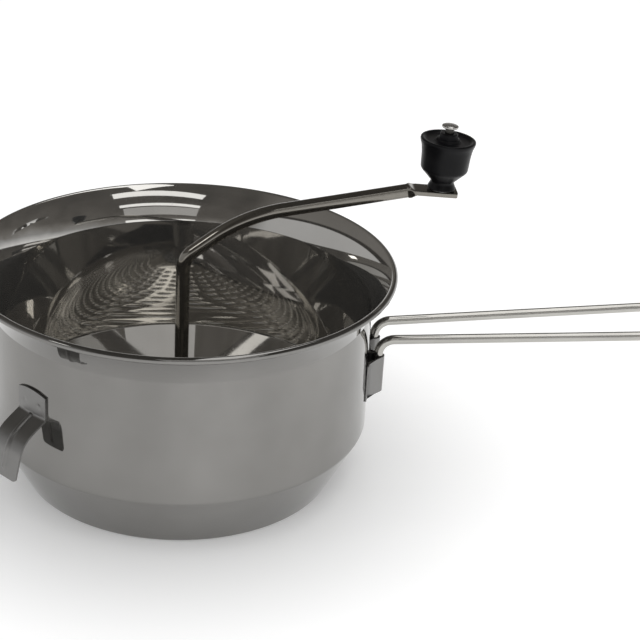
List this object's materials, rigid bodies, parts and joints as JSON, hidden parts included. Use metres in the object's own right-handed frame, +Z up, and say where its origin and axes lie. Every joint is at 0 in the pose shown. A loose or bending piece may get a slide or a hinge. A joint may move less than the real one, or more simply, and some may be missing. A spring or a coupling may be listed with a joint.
{
  "type": "food mill",
  "caption": "Hand-cranked food mill: drawn steel bowl with perforated cone, pusher blade on a bent crank with turning knob, sprung scraper, wire handle and two pot hooks.",
  "frame": {"origin": "centre of the foot ring, on the surface that the bowl stands on", "axes": "+Z up along the crank's axis, +X towards the wire handle, +Y to the left seen from the handle's end"},
  "size_m": [0.4175, 0.245, 0.2141],
  "materials": {
    "polished_steel": "polished stainless steel sheet with fine haze and scuffs",
    "strainer_steel": "perforated stainless steel sheet, satin",
    "blade_steel": "pressed stainless steel, satin",
    "bright_rod": "bright drawn stainless steel rod and wire",
    "turned_steel": "turned stainless steel",
    "plated_steel": "zinc-plated steel",
    "spring_steel": "drawn spring steel wire",
    "black_plastic": "moulded black phenolic plastic, semi-gloss"
  },
  "bodies": {
    "bowl_body": {"bowl": "polished_steel", "strainer": "strainer_steel", "hub_bush": "turned_steel", "handle_loop": "bright_rod", "handle_bracket": "polished_steel", "hook_front": "polished_steel", "hook_rear": "polished_steel"},
    "scraper_body": {"thrust_washer": "plated_steel", "scraper_wire": "spring_steel", "spring_cup": "plated_steel"},
    "crank_body": {"crank_rod": "bright_rod", "pusher_blade": "blade_steel", "blade_collar": "blade_steel", "knob_pin": "turned_steel", "knob_washer": "plated_steel", "tension_spring": "spring_steel"},
    "knob_body": {"knob": "black_plastic"},
    "nut_carrier": {"nut_washer": "plated_steel"},
    "nut_body": {"wing_nut": "plated_steel"}
  },
  "joints": [
    {"name": "crank_spin", "type": "hinge", "parent": "bowl_body", "child": "scraper_body", "pos_m": [0, 0, 0.03], "axis": [0, 0, 1], "continuous": true},
    {"name": "blade_lift", "type": "slide", "parent": "scraper_body", "child": "crank_body", "axis": [0, 0, 1], "range_m": [0, 0.003], "stiffness_N_per_m": 3500, "springref_m": -0.006, "deforming": ["tension_spring"]},
    {"name": "knob_spin", "type": "hinge", "parent": "crank_body", "child": "knob_body", "pos_m": [0.144, 0, 0.1756], "axis": [0.0523, 0, 0.9986], "continuous": true},
    {"name": "nut_travel", "type": "slide", "parent": "crank_body", "child": "nut_carrier", "axis": [0, 0, 1], "range_m": [-0.0026, 0]},
    {"name": "nut_turn", "type": "hinge", "parent": "nut_carrier", "child": "nut_body", "pos_m": [0, 0, 0.01], "axis": [0, 0, 1], "range_deg": [-720, 0]}
  ],
  "couplings": [
    {"joint": "nut_travel", "follows": "nut_turn", "m_per_rad": 0.00020213}
  ]
}
